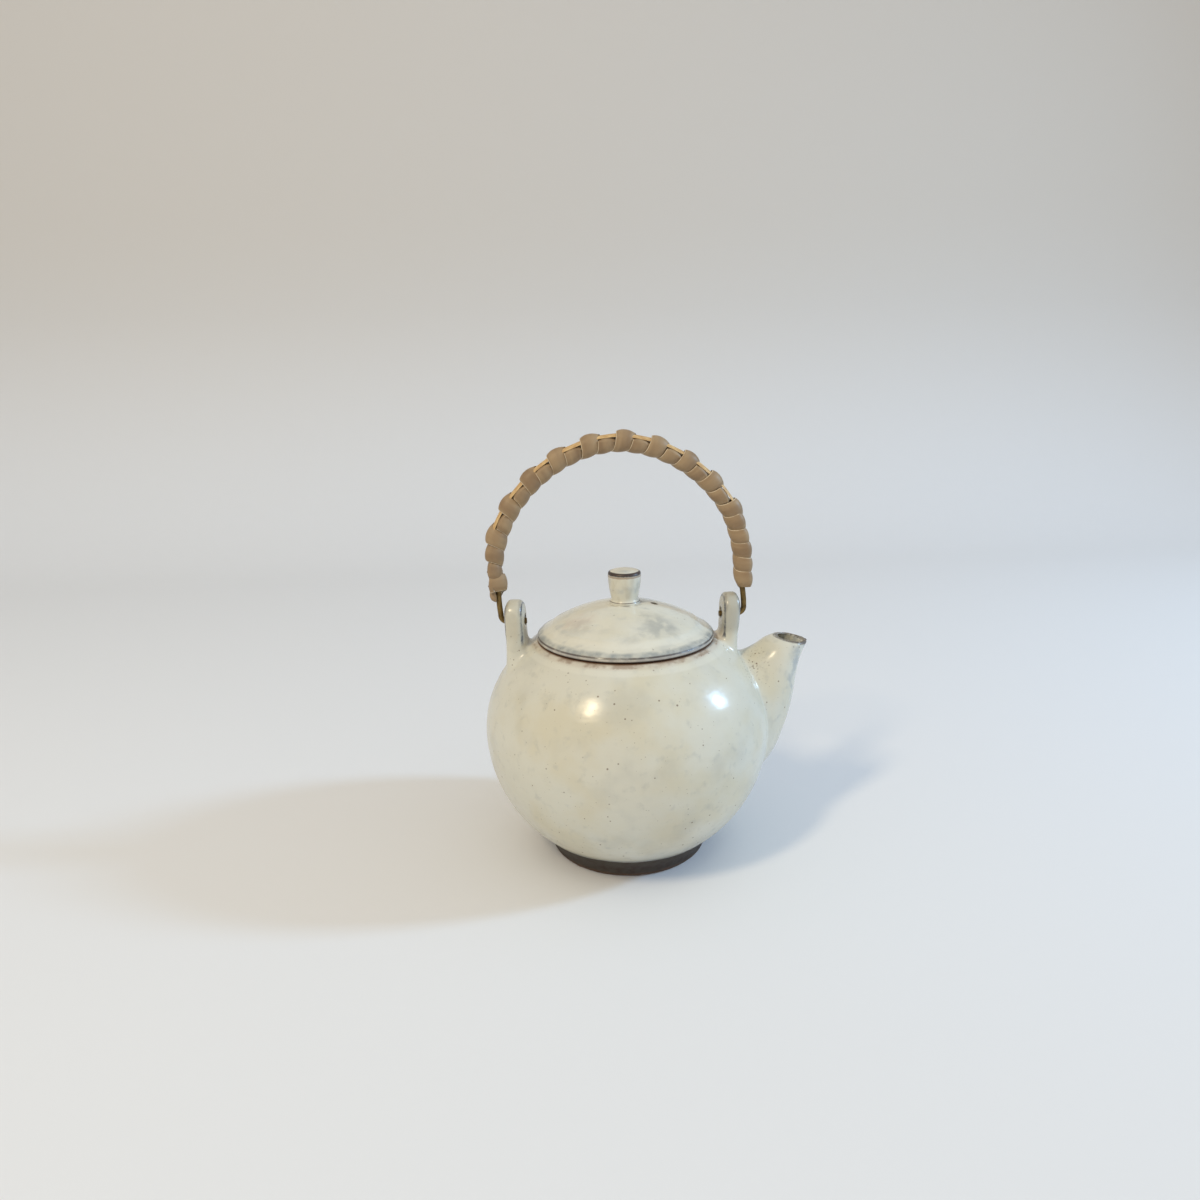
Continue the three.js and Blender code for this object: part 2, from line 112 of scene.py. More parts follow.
# An outline of (radius, height) is extruded from one vertex and spun once around the pot's axis.
def turned(name, outline, steps=144, axis=axisX):
    deselectAll()
    radius, height = outline[0]
    bpy.ops.mesh.primitive_plane_add(size=mm, location=((axis + radius) * mm, 0, height * mm))
    piece = bpy.context.object
    bpy.ops.object.mode_set(mode="EDIT")
    bpy.ops.mesh.merge(type="CENTER")
    for (radius, height), (nextRadius, nextHeight) in zip(outline, outline[1:]):
        offset = ((nextRadius - radius) * mm, 0, (nextHeight - height) * mm)
        bpy.ops.mesh.extrude_vertices_move(TRANSFORM_OT_translate={"value": offset})
    bpy.ops.mesh.select_all(action="SELECT")
    bpy.ops.mesh.spin(steps=steps, angle=fullTurn, center=(axis * mm, 0, 0), axis=(0, 0, 1))
    return finishMesh(piece, name)


# A grid whose vertices go to place(share along, share around), closed where its edges meet.
def shaped(name, columns, rows, place):
    deselectAll()
    bpy.ops.mesh.primitive_grid_add(x_subdivisions=columns, y_subdivisions=rows, size=2)
    piece = bpy.context.object
    shares = [((vertex.co.x + 1) / 2, (vertex.co.y + 1) / 2) for vertex in piece.data.vertices]
    for vertex, (along, around) in zip(piece.data.vertices, shares):
        vertex.co = Vector(place(along, around)) * mm
    for axis, label in enumerate(("along", "across")):
        attribute = piece.data.attributes.new(label, "FLOAT", "POINT")
        attribute.data.foreach_set("value", [share[axis] for share in shares])
    bpy.ops.object.mode_set(mode="EDIT")
    return finishMesh(piece, name)


# Cuts other out of a piece and deletes it.
def cut(piece, other):
    addModifier(piece, "BOOLEAN", object=other, operation="DIFFERENCE", solver="EXACT")
    bpy.data.objects.remove(other)


# The vertices' places in mm and the edges' ends, as arrays
def readMesh(mesh):
    places = np.empty(len(mesh.vertices) * 3)
    mesh.vertices.foreach_get("co", places)
    edges = np.empty(len(mesh.edges) * 2, dtype=int)
    mesh.edges.foreach_get("vertices", edges)
    return places.reshape(-1, 3) / mm, edges.reshape(-1, 2)


# The mean over each vertex's neighbours, for columns of values
def neighbours(values, edges):
    count = len(values)
    total = np.zeros_like(values)
    for here, there in ((0, 1), (1, 0)):
        for column in range(values.shape[1]):
            total[:, column] += np.bincount(edges[:, here], values[edges[:, there], column], count)
    return total / np.bincount(edges.ravel(), minlength=count)[:, None]


# The pot's thrown body
potShape = {
    "radius": 63,
    "widestHeight": 57.8,
    "rise": 51.4,  # of the curve above its widest place
    "drop": 61.7,  # and below it
    "wall": 4,
    "glazeHeight": 10.7,  # where the glaze stops over the foot
    "footRadius": 35,
    "footWidth": 5,
    "footRecess": 4,
    "footEdge": 0.6,
    "innerFloor": 8.5,
    "mouthHeight": 98.5,
    "mouthRadius": 34,
    "mouthWidth": 5.6,
    "collarHeight": 1.6,
    "voxel": 0.9,
}
mouthHeight = potShape["mouthHeight"]


def bellyRadiusAt(height, inset=0):
    below = height < potShape["widestHeight"]
    halfAxis = (potShape["drop"] if below else potShape["rise"]) - inset
    upShare = (height - potShape["widestHeight"]) / halfAxis
    return (potShape["radius"] - inset) * sqrt(max(1 - upShare**2, 0))


def bellyOutline(lowest, highest, inset, steps):
    points = []
    for step in range(steps + 1):
        height = mix(lowest, highest, (1 - cos(pi * step / steps)) / 2)
        points.append((bellyRadiusAt(height, inset), height))
    return points


def footOutline():
    radius, edge = potShape["footRadius"], potShape["footEdge"]
    inner = radius - potShape["footWidth"]
    outline = [(0, potShape["footRecess"]), (inner - 0.8, potShape["footRecess"])]
    outline += [(inner, edge), (inner + edge, 0)]
    return outline + [(radius - 0.7, 0), (radius, edge), (radius + edge, 3.7)]


# The room inside, up through the mouth with its eased edge
def cavityOutline():
    bottom, radius, ease = potShape["innerFloor"], potShape["mouthRadius"], 0.7
    outline = [(0, bottom)] + bellyOutline(bottom, mouthHeight - 2.5, potShape["wall"], 24)
    outline += [(radius, mouthHeight - 1.9), (radius, mouthHeight - ease), (radius + ease, mouthHeight)]
    return outline + [(radius + ease, mouthHeight + 3), (0, mouthHeight + 3)]


# The spout, between an upper and a lower line whose shares go from its root to its mouth
spoutShape = {
    "tip": (81.3, 93.6),
    "mouthTilt": radians(9),
    "mouthLength": 14.9,
    "mouthHalfWidth": 7.4,
    "rootHalfWidth": 22,
    "neckHeight": 88.6,
    "bellyHeight": 28.1,
    "upper": [(-0.42, -0.72), (0.06, -0.05), (0.46, 0.38), (0.76, 0.82), (1, 1)],
    "lower": [(-0.6, 0), (0.07, 0.165), (0.39, 0.355), (0.63, 0.58), (0.78, 0.855), (1, 1)],
    "rootWall": 3.2,
    "lipWall": 2.1,
    "lipFrom": 0.955,  # the share of the channel from which it widens
    "lipFlare": 1.1,
    "overrun": 0.08,  # how far the channel's cutter goes on past the mouth
}
tiltSine = sin(spoutShape["mouthTilt"])
tiltCosine = cos(spoutShape["mouthTilt"])
spoutTip = np.array(spoutShape["tip"])
spoutHeel = spoutTip + spoutShape["mouthLength"] * np.array((-tiltCosine, tiltSine))
spoutNeck = np.array((bellyRadiusAt(spoutShape["neckHeight"]), spoutShape["neckHeight"]))
spoutBelly = np.array((potShape["radius"], spoutShape["bellyHeight"]))
upperLine = [spoutNeck + (spoutHeel - spoutNeck) * np.array(share) for share in spoutShape["upper"]]
lowerLine = [spoutBelly + (spoutTip - spoutBelly) * np.array(share) for share in spoutShape["lower"]]


# The spout's skin, or, drawn in by its wall, its channel, whose end widens into a rounded lip.
def spoutSkin(name, rootInset=0, lipInset=0, overrun=0):
    def place(along, around):
        share = min(along * (1 + overrun), 1)
        beyond = max(along * (1 + overrun) - 1, 0) * 40
        top = through(upperLine, share)
        bottom = through(lowerLine, share)
        middle = (top + bottom) / 2
        span = np.linalg.norm(top - bottom)
        up = (top - bottom) / span
        flare = spoutShape["lipFlare"] * smooth(share, spoutShape["lipFrom"], 1) ** 2 if overrun else 0
        inset = mix(rootInset, lipInset, share) - flare
        halfWidth = mix(spoutShape["rootHalfWidth"], spoutShape["mouthHalfWidth"], share**1.25) - inset
        across, rise = rounded(-around * fullTurn, halfWidth, span / 2 - inset, 2)
        x, z = middle + up * rise
        return axisX + x + tiltSine * beyond, across, z + tiltCosine * beyond

    return shaped(name, 60, 72, place)


# The lugs differ a little, and the back one was set on askew.
lugShape = {
    "width": 14,
    "top": 116.6,
    "root": mouthHeight - 13,
    "footSpread": 3.5,
    "squareness": 4,
    "straight": 0.6,  # the share of a lug's length under its round top
    "lastAngle": radians(84),
    "holeHeight": 107.6,
    "holeRadius": 2.1,
    "holeEase": 0.9,
}
lugs = {
    -1: {"middle": -47.9, "thickness": 8.6, "turn": radians(-9), "lean": radians(2)},
    1: {"middle": 46.3, "thickness": 8.0, "turn": radians(1.5), "lean": radians(5)},
}


# A tongue of clay that leans out of the shoulder, spreads at its foot and rounds over at its top.
def makeLug(name, side):
    lug = lugs[side]
    halfThickness = lug["thickness"] / 2
    topRadius = lugShape["width"] / 2
    roundFrom = lugShape["top"] - topRadius
    straight, lastAngle = lugShape["straight"], lugShape["lastAngle"]
    cosine, sine = cos(lug["turn"]), sin(lug["turn"])

    def place(along, around):
        lift = min(along / straight, 1)
        height = mix(lugShape["root"], roundFrom, lift)
        flare = lugShape["footSpread"] * (1 - lift) ** 3
        inner = -halfThickness - flare
        outer = halfThickness - (roundFrom - height) * tan(lug["lean"]) + flare * 0.3
        halfWidth = topRadius + flare
        if along > straight:
            angle = (along - straight) / (1 - straight) * lastAngle
            height = roundFrom + topRadius * sin(angle) / sin(lastAngle)
            outer = halfThickness * cos(angle) ** 0.45
            inner = -outer
            halfWidth = topRadius * cos(angle)
        out, across = rounded(-around * fullTurn, (outer - inner) / 2, halfWidth, lugShape["squareness"])
        x = side * ((outer + inner) / 2 + out)
        y = side * across
        return axisX + lug["middle"] + x * cosine - y * sine, x * sine + y * cosine, height

    return shaped(name, 60, 48, place)


# A drill along X with flared ends, so that its hole has rounded edges.
def makeDrill(name, radius, length, middle, flare):
    x, y, z = middle

    def place(along, around):
        fromEnd = length * min(along, 1 - along)
        wide = radius + flare * max(1 - fromEnd / flare, 0) ** 2 if flare else radius
        angle = around * fullTurn
        return x + (along - 0.5) * length, y + wide * cos(angle), z + wide * sin(angle)

    return shaped(name, 25, 25, place)


# How far the creases are rounded, in rounds of averaging over the mesh
softening = {
    "onCurve": 0.8,
    "fromFoot": 2,
    "fromMouth": 3,
    "grow": 6,
    "blur": 10,
    "rounds": 36,
    "plainRounds": 4,
    "atSpout": 0.5,
    "atLugs": 0.3,
    "lipPlace": (74, 94),
    "keepLip": (11, 8),  # no rounding up to the first distance from the lip, full over the second
    "keepLugs": (102, 3),
}


# Rounds the creases around spout and lugs, and puts the thrown wall back on its exact curve.
def softenJoints(pot):
    mesh = pot.data
    places, edges = readMesh(mesh)
    fromAxis, heights = places[:, 0] - axisX, places[:, 2]
    radius = np.hypot(fromAxis, places[:, 1])
    thrown = np.array([bellyRadiusAt(height) for height in heights])
    overFoot = heights > potShape["glazeHeight"] + softening["fromFoot"]
    onBelly = (np.abs(radius - thrown) < softening["onCurve"]) & overFoot
    onBelly &= heights < mouthHeight - softening["fromMouth"]
    blend = (~onBelly & overFoot).astype(float)[:, None]
    for _ in range(softening["grow"]):
        blend = np.maximum(blend, neighbours(blend, edges))
    for _ in range(softening["blur"]):
        blend = neighbours(blend, edges)
    nearSpout = (heights < 95) & (places[:, 0] > 20)
    strength = np.where(nearSpout, softening["atSpout"], softening["atLugs"])[:, None] * blend
    (lipX, lipZ), (lipFrom, lipOver) = softening["lipPlace"], softening["keepLip"]
    fromLip = np.hypot(fromAxis - lipX, heights - lipZ)
    lugFrom, lugOver = softening["keepLugs"]
    strength *= np.clip((lugFrom - heights) / lugOver, 0.03, 1)[:, None]
    strength *= np.clip((fromLip - lipFrom) / lipOver, 0.04, 1)[:, None]
    smoothed = places.copy()
    for _ in range(softening["rounds"]):
        smoothed += (neighbours(smoothed, edges) - smoothed) * strength
    exact = places.copy()
    for _ in range(softening["plainRounds"]):
        exact += (neighbours(exact, edges) - exact) * 0.5
    scale = np.where(onBelly, thrown / np.maximum(radius, 1), 1)
    onCurve = np.column_stack((axisX + fromAxis * scale, places[:, 1] * scale, heights))
    exact = np.where(onBelly[:, None], onCurve, exact)
    result = exact + (smoothed - exact) * np.minimum(blend * 1.6, 1)
    mesh.vertices.foreach_set("co", (result * mm).ravel())
    mesh.update()


# The pierced wall behind the spout: one hole in the middle and the others around it
strainer = {"holes": 7, "radius": 1.5, "ring": 7, "height": 62, "length": 12}


def makePot():
    shelf = potShape["mouthRadius"] + potShape["mouthWidth"]
    belly = bellyOutline(potShape["glazeHeight"], mouthHeight - potShape["collarHeight"], 0, 40)
    outline = footOutline() + belly
    outline += [(shelf - 0.1, mouthHeight - 1.1), (shelf, mouthHeight - 0.5)]
    outline += [(shelf - 0.5, mouthHeight), (0, mouthHeight)]
    pot = turned("pot_body", outline)
    joined = [spoutSkin("spout_skin"), makeLug("lug_back", -1), makeLug("lug_spout", 1)]
    makeActive(pot)
    for part in joined:
        part.select_set(True)
    bpy.ops.object.join()
    addModifier(pot, "REMESH", mode="VOXEL", voxel_size=potShape["voxel"] * mm)
    softenJoints(pot)

    cut(pot, turned("cavity", cavityOutline(), 96))
    channel = spoutSkin("channel", spoutShape["rootWall"], spoutShape["lipWall"], spoutShape["overrun"])
    cut(channel, turned("core", belly + [(0, belly[-1][1]), (0, belly[0][1])], 96))
    cut(pot, channel)
    wallMiddle = axisX + bellyRadiusAt(strainer["height"], potShape["wall"] / 2)
    for hole in range(strainer["holes"]):
        reach = strainer["ring"] if hole else 0
        angle = hole * pi / 3
        place = (wallMiddle, reach * cos(angle), strainer["height"] + reach * sin(angle))
        cut(pot, makeDrill("strainer", strainer["radius"], strainer["length"], place, 0))
    for lug in lugs.values():
        place = (axisX + lug["middle"], 0, lugShape["holeHeight"])
        length = lug["thickness"] + 0.4
        cut(pot, makeDrill("lug_hole", lugShape["holeRadius"], length, place, lugShape["holeEase"]))
    return pot


# Marks how sharply the skin bends outwards at each vertex, in 1/mm, for the glaze's thin edges.
def markEdges(piece, rounds):
    mesh = piece.data
    places, edges = readMesh(mesh)
    count = len(places)
    normals = np.empty(count * 3)
    mesh.vertices.foreach_get("normal", normals)
    normals = normals.reshape(-1, 3)
    starts, ends = edges[:, 0], edges[:, 1]
    offset = places[starts] - places[ends]
    length = np.maximum((offset**2).sum(axis=1), 1e-4)
    first = (offset * normals[starts]).sum(axis=1) * 2 / length
    second = -(offset * normals[ends]).sum(axis=1) * 2 / length
    bend = np.bincount(starts, first, count) + np.bincount(ends, second, count)
    bend = np.clip(bend / np.bincount(edges.ravel(), minlength=count), -1, 1)[:, None]
    for _ in range(rounds):
        bend = (bend + neighbours(bend, edges)) / 2
    mesh.attributes.new("edge", "FLOAT", "POINT").data.foreach_set("value", bend.ravel())


# The lid, with its knob's outline as (radius, share of the knob's height)
lidShape = {
    "radius": 38.75,
    "seat": 98.8,
    "rimThickness": 2.3,
    "domeRise": 13,
    "ridgeRadius": 31.6,  # a line the thrower's fingers left
    "ridgeHeight": 0.3,
    "flange": 33.2,
    "flangeWidth": 3,
    "flangeDrop": 6,
    "thickness": 3.5,
    "edge": 0.6,  # the size of the eased edges
    "knobHeight": 15.2,
    "knob": [
        (6.8, 0.015), (6.75, 0.05), (6.55, 0.085), (6.15, 0.11), (5.9, 0.14), (5.95, 0.18),
        (6.2, 0.27), (6.55, 0.39), (6.85, 0.51), (7.05, 0.63), (7.15, 0.73), (7.2, 0.81),
        (7.15, 0.865), (7, 0.91), (6.5, 0.94), (5.3, 0.967), (3.2, 0.99), (0, 1),
    ],
    "steamX": axisX + 12.9,
    "steamRadius": 1.3,
}
lidRadius = lidShape["radius"]
lidSeat = lidShape["seat"]


def domeHeight(radius):
    share = radius / lidRadius
    brim = 0.6 * hump(share, 0.9, 0.1)
    ridge = lidShape["ridgeHeight"] * hump(radius, lidShape["ridgeRadius"], 1.1)
    return lidShape["rimThickness"] + max(lidShape["domeRise"] * (1 - share**2) - brim, 0) + ridge


knobFoot = lidSeat + domeHeight(8.1)
knobTop = knobFoot + lidShape["knobHeight"]


def makeLid():
    flange, edge = lidShape["flange"], lidShape["edge"]
    inner = flange - lidShape["flangeWidth"]
    foot = lidSeat - lidShape["flangeDrop"]
    outline = []
    for step in range(20):
        radius = inner * step / 20
        outline.append((radius, lidSeat + domeHeight(radius) - lidShape["thickness"]))
    outline += [(inner, lidSeat - 0.4), (inner, foot + edge), (inner + edge, foot)]
    outline += [(flange - edge, foot), (flange, foot + edge), (flange, lidSeat)]
    rim = [(edge, 0), (0.15, 0.15), (0, 0.5), (0, 1.2), (0.15, 1.65), (0.5, 2)]
    outline += [(lidRadius - inset, lidSeat + rise) for inset, rise in rim]
    for step in range(73):
        radius = mix(lidRadius - 1.1, 7.2, step / 72)
        outline.append((radius, lidSeat + domeHeight(radius)))
    outline += [(radius, knobFoot + lidShape["knobHeight"] * share) for radius, share in lidShape["knob"]]
    lid = turned("lid_thrown", outline, 180)
    radius, top, bottom = lidShape["steamRadius"], 120, 90
    steam = [(0, top), (radius, top), (radius, bottom), (0, bottom)]
    cut(lid, turned("steam", steam, 24, lidShape["steamX"]))
    return lid


# The bail's wire: hook, back leg, arch, spout leg, hook; x is from the pot's axis
bail = {
    "wireRadius": 1.2,
    "hingeHeight": 107,
    "tips": (-42.9, 41.5),
    "legs": (-54.1, 52.5),  # just above the hooks
    "hookBend": 2.8,
    "backSplay": 0.14,  # radians that the back leg leans out
    "archWidth": 52.6,
    "archRise": 51.5,
    "archSquareness": 1.85,
    "archLean": -1.95,
    "archHeight": 129.7,
}
wireRadius = bail["wireRadius"]
quarter = pi / 2


def arcPoints(x, z, radius, start, end):
    angles = np.linspace(start, end, 16)[1:]
    return [(x + radius * cos(angle), z + radius * sin(angle)) for angle in angles]


def bezierPoints(*corners):
    points = []
    for share in np.linspace(0, 1, 60)[1:]:
        rest = 1 - share
        weights = (rest**3, 3 * rest**2 * share, 3 * rest * share**2, share**3)
        points.append(tuple(sum(w * corner[axis] for w, corner in zip(weights, corners)) for axis in (0, 1)))
    return points


def makeRoute():
    bend, splay, hinge = bail["hookBend"], bail["backSplay"], bail["hingeHeight"]
    archHeight = bail["archHeight"]
    legFoot = hinge + bend
    (backTip, spoutTipX), (backLeg, spoutLeg) = bail["tips"], bail["legs"]
    back = bail["archLean"] - bail["archWidth"]
    front = bail["archLean"] + bail["archWidth"]
    points = [(share, hinge) for share in np.linspace(backTip, backLeg + bend, 8)]
    points += arcPoints(backLeg + bend, legFoot, bend, -quarter, -pi - splay)
    leaving = points[-1]
    pulled = (leaving[0] - 6 * sin(splay), leaving[1] + 6 * cos(splay))
    points += bezierPoints(leaving, pulled, (back, archHeight - 7), (back, archHeight))
    for angle in np.linspace(-pi, pi, 401)[1:]:
        across, rise = rounded(angle / 2, bail["archWidth"], bail["archRise"], bail["archSquareness"])
        points.append((bail["archLean"] + across, archHeight + rise))
    foot, ankle = (spoutLeg, legFoot), (spoutLeg, legFoot + 8)
    points += bezierPoints((front, archHeight), (front, archHeight - 8), ankle, foot)
    points += arcPoints(spoutLeg - bend, legFoot, bend, 0, -quarter)
    points += [(share, hinge) for share in np.linspace(spoutLeg - bend, spoutTipX, 8)][1:]
    return np.array(points)


route = makeRoute()
travelled = np.concatenate(([0], np.cumsum(np.linalg.norm(np.diff(route, axis=0), axis=1))))
headings = np.gradient(route, travelled, axis=0)
wireLength = travelled[-1]


# A place beside the wire: along its length, across it in Y, and out from the arch's middle.
def besideWire(along, across, out):
    columns = (route[:, 0], route[:, 1], headings[:, 0], headings[:, 1])
    x, z, headX, headZ = (np.interp(along, travelled, column) for column in columns)
    length = hypot(headX, headZ)
    return Vector((axisX + x - headZ / length * out, across, z + headX / length * out))


def makeWire():
    def place(along, around):
        across, out = rounded(-around * fullTurn, wireRadius, wireRadius, 2)
        return besideWire(along * wireLength, across, out)

    return shaped("bail_wire", 420, 25, place)


# The winding's turns are counted from the back leg.
winding = {
    "turns": 27,
    "firstTuck": 2,  # the first turn over the leader's end
    "firstWoven": 3,  # from here every second turn passes over the leader
    "lastWoven": 21,
    "lastTuck": 22,
    "wovenStart": 34.8,  # from the end of the back hook
    "wovenPitch": 6.8,
    "backPitch": 6.8,
    "spoutPitch": 6.1,
    "squareAt": 0.84,  # the share of a turn at which the band runs square to the handle
    "tailFrom": -1.32,  # the band's first end, in turns
    "tailTo": -0.8,
    "tailAngle": -1.17,
    "tailLength": 4.2,
    "tailSlant": 2.4,
    "tailBulge": 2.1,
    "halfWidth": 3.65,
    "thickness": 0.7,
    "wander": 0.35,
    "swells": {0: -0.3, 2: 0.4, 22: 0.4, 23: 0.8, 24: 0.9, 25: 0.8, 26: 0.6},
}
layerGap = 0.3
cane = {"halfWidth": 1.6, "halfThickness": 1.1}
leaderShape = {"halfWidth": 2.3, "thickness": 0.7, "offset": -1.2, "sway": 0.15, "bow": 0.08, "fall": 1.6}
turns = winding["turns"]
firstWoven = winding["firstWoven"]
lastWoven = winding["lastWoven"]
tailFrom = winding["tailFrom"]
tailTo = winding["tailTo"]
stripThickness = winding["thickness"]
lastTurn = turns - 0.6
legStart = abs(bail["legs"][0] + bail["hookBend"] - bail["tips"][0])
legStart += bail["hookBend"] * (quarter + bail["backSplay"])
wovenStart = legStart + winding["wovenStart"]
caneOut = wireRadius + layerGap + cane["halfThickness"] * 0.65
caneAcross = layerGap + cane["halfWidth"]


# Where a turn lies along the wire
def turnMiddle(turn):
    woven = min(max(turn, firstWoven), lastWoven) - firstWoven
    place = wovenStart + woven * winding["wovenPitch"]
    place += min(turn - firstWoven, 0) * winding["backPitch"]
    return place + max(turn - lastWoven, 0) * winding["spoutPitch"]


wrapStart = turnMiddle(0)
wrapEnd = turnMiddle(lastTurn)


def leaderOut(turn):
    tucked = caneOut + cane["halfThickness"] + layerGap
    woven = tucked + stripThickness + layerGap
    risen = min(turn - firstWoven, lastWoven - turn)
    return mix(tucked, woven, smooth(risen, -0.5, 0.5))


# A slip with a rounded back and thin edges that rides up a little between the turns over it.
def makeLeader():
    start = winding["firstTuck"] - 0.4
    end = winding["lastTuck"] + 0.4
    halfWidth, fallFrom = leaderShape["halfWidth"], 4.15

    def place(along, around):
        turn = mix(start, end, along)
        across, out = rounded((0.5 - around) * fullTurn, halfWidth, 1, 2.3)
        bow = -leaderShape["bow"] * cos(turn * pi) if firstWoven < turn < lastWoven else 0
        thickness = mix(0.35, 1, smooth(min(turn - firstWoven, lastWoven - turn), -0.7, 0.2))
        across += leaderShape["sway"] * sin(turn * 1.7) + leaderShape["offset"]
        fall = leaderShape["fall"] * (1 - (1 - min(abs(across) / fallFrom, 1) ** 3) ** (1 / 3))
        out = out * (0.85 * thickness if out > 0 else 0.15) - fall
        return besideWire(turnMiddle(turn), across, leaderOut(turn) + out + bow)

    return shaped("leader_slip", 420, 21, place)


# Whether a turn passes over the leader
def isOver(index):
    return firstWoven <= index <= lastWoven and index % 2 == 1


# Height of the band's middle over the canes' middle line at a turn's outer side
def turnHeight(index):
    plain = cane["halfThickness"] + layerGap + stripThickness / 2 - 0.2
    tucking = plain + leaderShape["thickness"] + layerGap
    if isOver(index):
        return tucking + stripThickness + layerGap * 2
    atTuck = winding["firstTuck"] <= index < firstWoven or lastWoven < index <= winding["lastTuck"]
    return tucking if atTuck else plain


# The band runs nearly square to the handle in front and outside, and moves on behind and inside.
def turnPlace(turn):
    onTail = max(tailTo - turn, 0) / (tailTo - tailFrom)
    turn = max(turn, tailTo)
    squareAt = winding["squareAt"]
    sway = sin(fullTurn * (turn - squareAt)) + sin(fullTurn * squareAt)
    slant = winding["tailSlant"] * smooth(1 - abs(turn + 0.55) / 0.55, 0, 1)
    place = turnMiddle(turn) - 0.75 / fullTurn * sway * winding["wovenPitch"]
    return place + slant - winding["tailLength"] * onTail


# The tail lies along the wire before it winds.
def wound(turn):
    share = max(tailTo - turn, 0) / (tailTo - tailFrom)
    tailAngle = winding["tailAngle"]
    return mix(turn, tailAngle + (tailTo - tailAngle) * (1 - share) ** 2, min(share * 4, 1))


# The band's route round the canes and the wire; turns by the legs bulge over a second layer.
def stripMiddle(turn, along):
    full = mix(0.2, 1, smooth(along, wrapStart - 5, wrapStart - 1))
    full *= mix(0.8, 1, smooth(wrapEnd - along, -1, 4))
    halfWidth = caneAcross + cane["halfWidth"] + layerGap + stripThickness / 2
    inside = wireRadius + layerGap + stripThickness / 2
    angle = turn * fullTurn
    nearest = floor(turn + 0.5)
    index = floor(turn)
    swells = winding["swells"]
    swell = mix(swells.get(index, 0), swells.get(index + 1, 0), smooth(turn - index, 0.25, 0.75))
    if cos(angle) > 0:
        across, out = rounded(angle, halfWidth, turnHeight(nearest), 2.4 if isOver(nearest) else 3)
    else:
        across, out = rounded(angle, halfWidth, caneOut + inside, 2.2)
    if cos(angle) < 0:
        swell += winding["tailBulge"] * smooth(1 - abs(turn + 0.4) / 0.4, 0, 1)
    out += caneOut + swell * cos(angle)
    thinAcross, thinOut = rounded(angle, inside + 0.4, inside + 0.4, 2)
    return mix(thinAcross, across, full), mix(thinOut, out, full)


def stripPlace(turn, nudge=0.0):
    along = turnPlace(turn)
    return besideWire(along, *stripMiddle(wound(turn) + nudge, along))


# A soft flat band, crowned across, whose spout-side edge lies over the next turn.
def makeStrip():
    stepsPerTurn = 60
    chance = random.Random(5)
    reach = winding["wander"]
    wander = [chance.uniform(-reach, reach) for _ in range(turns + 2)]
    count = int((lastTurn - tailFrom) * stepsPerTurn)
    step = 0.004  # turns between the places that give the band's directions
    frames = []
    for number in range(count + 1):
        turn = tailFrom + number / stepsPerTurn
        ahead = (stripPlace(turn + step) - stripPlace(turn - step)).normalized()
        along = turnPlace(turn)
        roundWay = stripPlace(turn, step) - stripPlace(turn, -step)
        heading = besideWire(along + 0.01, 0, 0) - besideWire(along - 0.01, 0, 0)
        outward = heading.cross(roundWay).normalized()
        sideways = outward.cross(ahead).normalized()
        index = max(floor(turn), 0)
        shift = mix(wander[index], wander[index + 1], smooth(turn - index, 0, 1))
        over = max(cos(turn * fullTurn), 0) ** 2 * isOver(floor(turn + 0.5))
        frames.append((stripPlace(turn), sideways, ahead.cross(sideways).normalized(), shift, over, turn))

    def place(along, around):
        middle, sideways, outward, shift, over, turn = frames[int(along * count + 0.5)]
        narrow = mix(0.04, 1, smooth(turn, tailFrom, tailTo - 0.12))
        narrow *= mix(0.5, 1, smooth(lastTurn - turn, 0, 0.35))
        halfWidth = (winding["halfWidth"] + 0.3 * over) * narrow
        side, out = rounded((0.5 - around) * fullTurn, halfWidth, 0.3, 2.6)
        share = side / halfWidth
        curl = mix(0.75 + 0.25 * over, 1.6, smooth(tailTo - turn, 0, 0.15))
        crown = curl * narrow * (1 - share**2) - 0.5
        lapped = 0.3 * share * narrow * (turn > tailTo)
        return middle + sideways * (side + shift) + outward * (out + crown + lapped + 0.2 * over)

    return shaped("band_winding", count + 1, 33, place)


# The filler canes under the band, in front of the wire and behind it
def makeCane(name, side):
    start = turnMiddle(1)
    end = turnMiddle(turns - 1)

    def place(along, around):
        across, out = rounded(-around * fullTurn, cane["halfWidth"], cane["halfThickness"], 2)
        return besideWire(mix(start, end, along), side * caneAcross + across, caneOut + out)

    return shaped(name, 240, 13, place)


pot = makePot()
print("Pot shaped,", len(pot.data.polygons), "faces")
lid = makeLid()
wire = makeWire()
leader = makeLeader()
strip = makeStrip()
canePieces = {"front": makeCane("filler_front", -1), "back": makeCane("filler_back", 1)}
print("Lid, wire, canes and band shaped")


# Materials: sockets that Python sums and products can use
def operator(operation):
    return lambda value, other: value.maths(operation, value, other)


class Value:
    __add__ = operator("ADD")
    __sub__ = operator("SUBTRACT")
    __mul__ = operator("MULTIPLY")
    __truediv__ = operator("DIVIDE")
    __pow__ = operator("POWER")
    most = operator("MAXIMUM")
    least = operator("MINIMUM")
    above = operator("GREATER_THAN")

    def __init__(self, tree, socket):
        self.tree = tree
        self.socket = socket

    def maths(self, operation, first, second=0):
        node = self.tree.nodes.new("ShaderNodeMath")
        node.operation = operation
        for place, value in zip(node.inputs, (first, second)):
            feed(self.tree, place, value)
        return Value(self.tree, node.outputs[0])

    def __radd__(self, other):
        return self.maths("ADD", other, self)

    def __rsub__(self, other):
        return self.maths("SUBTRACT", other, self)

    def size(self):
        return self.maths("ABSOLUTE", self)


def feed(tree, place, value):
    if isinstance(value, Value):
        tree.links.new(value.socket, place)
    else:
        place.default_value = value


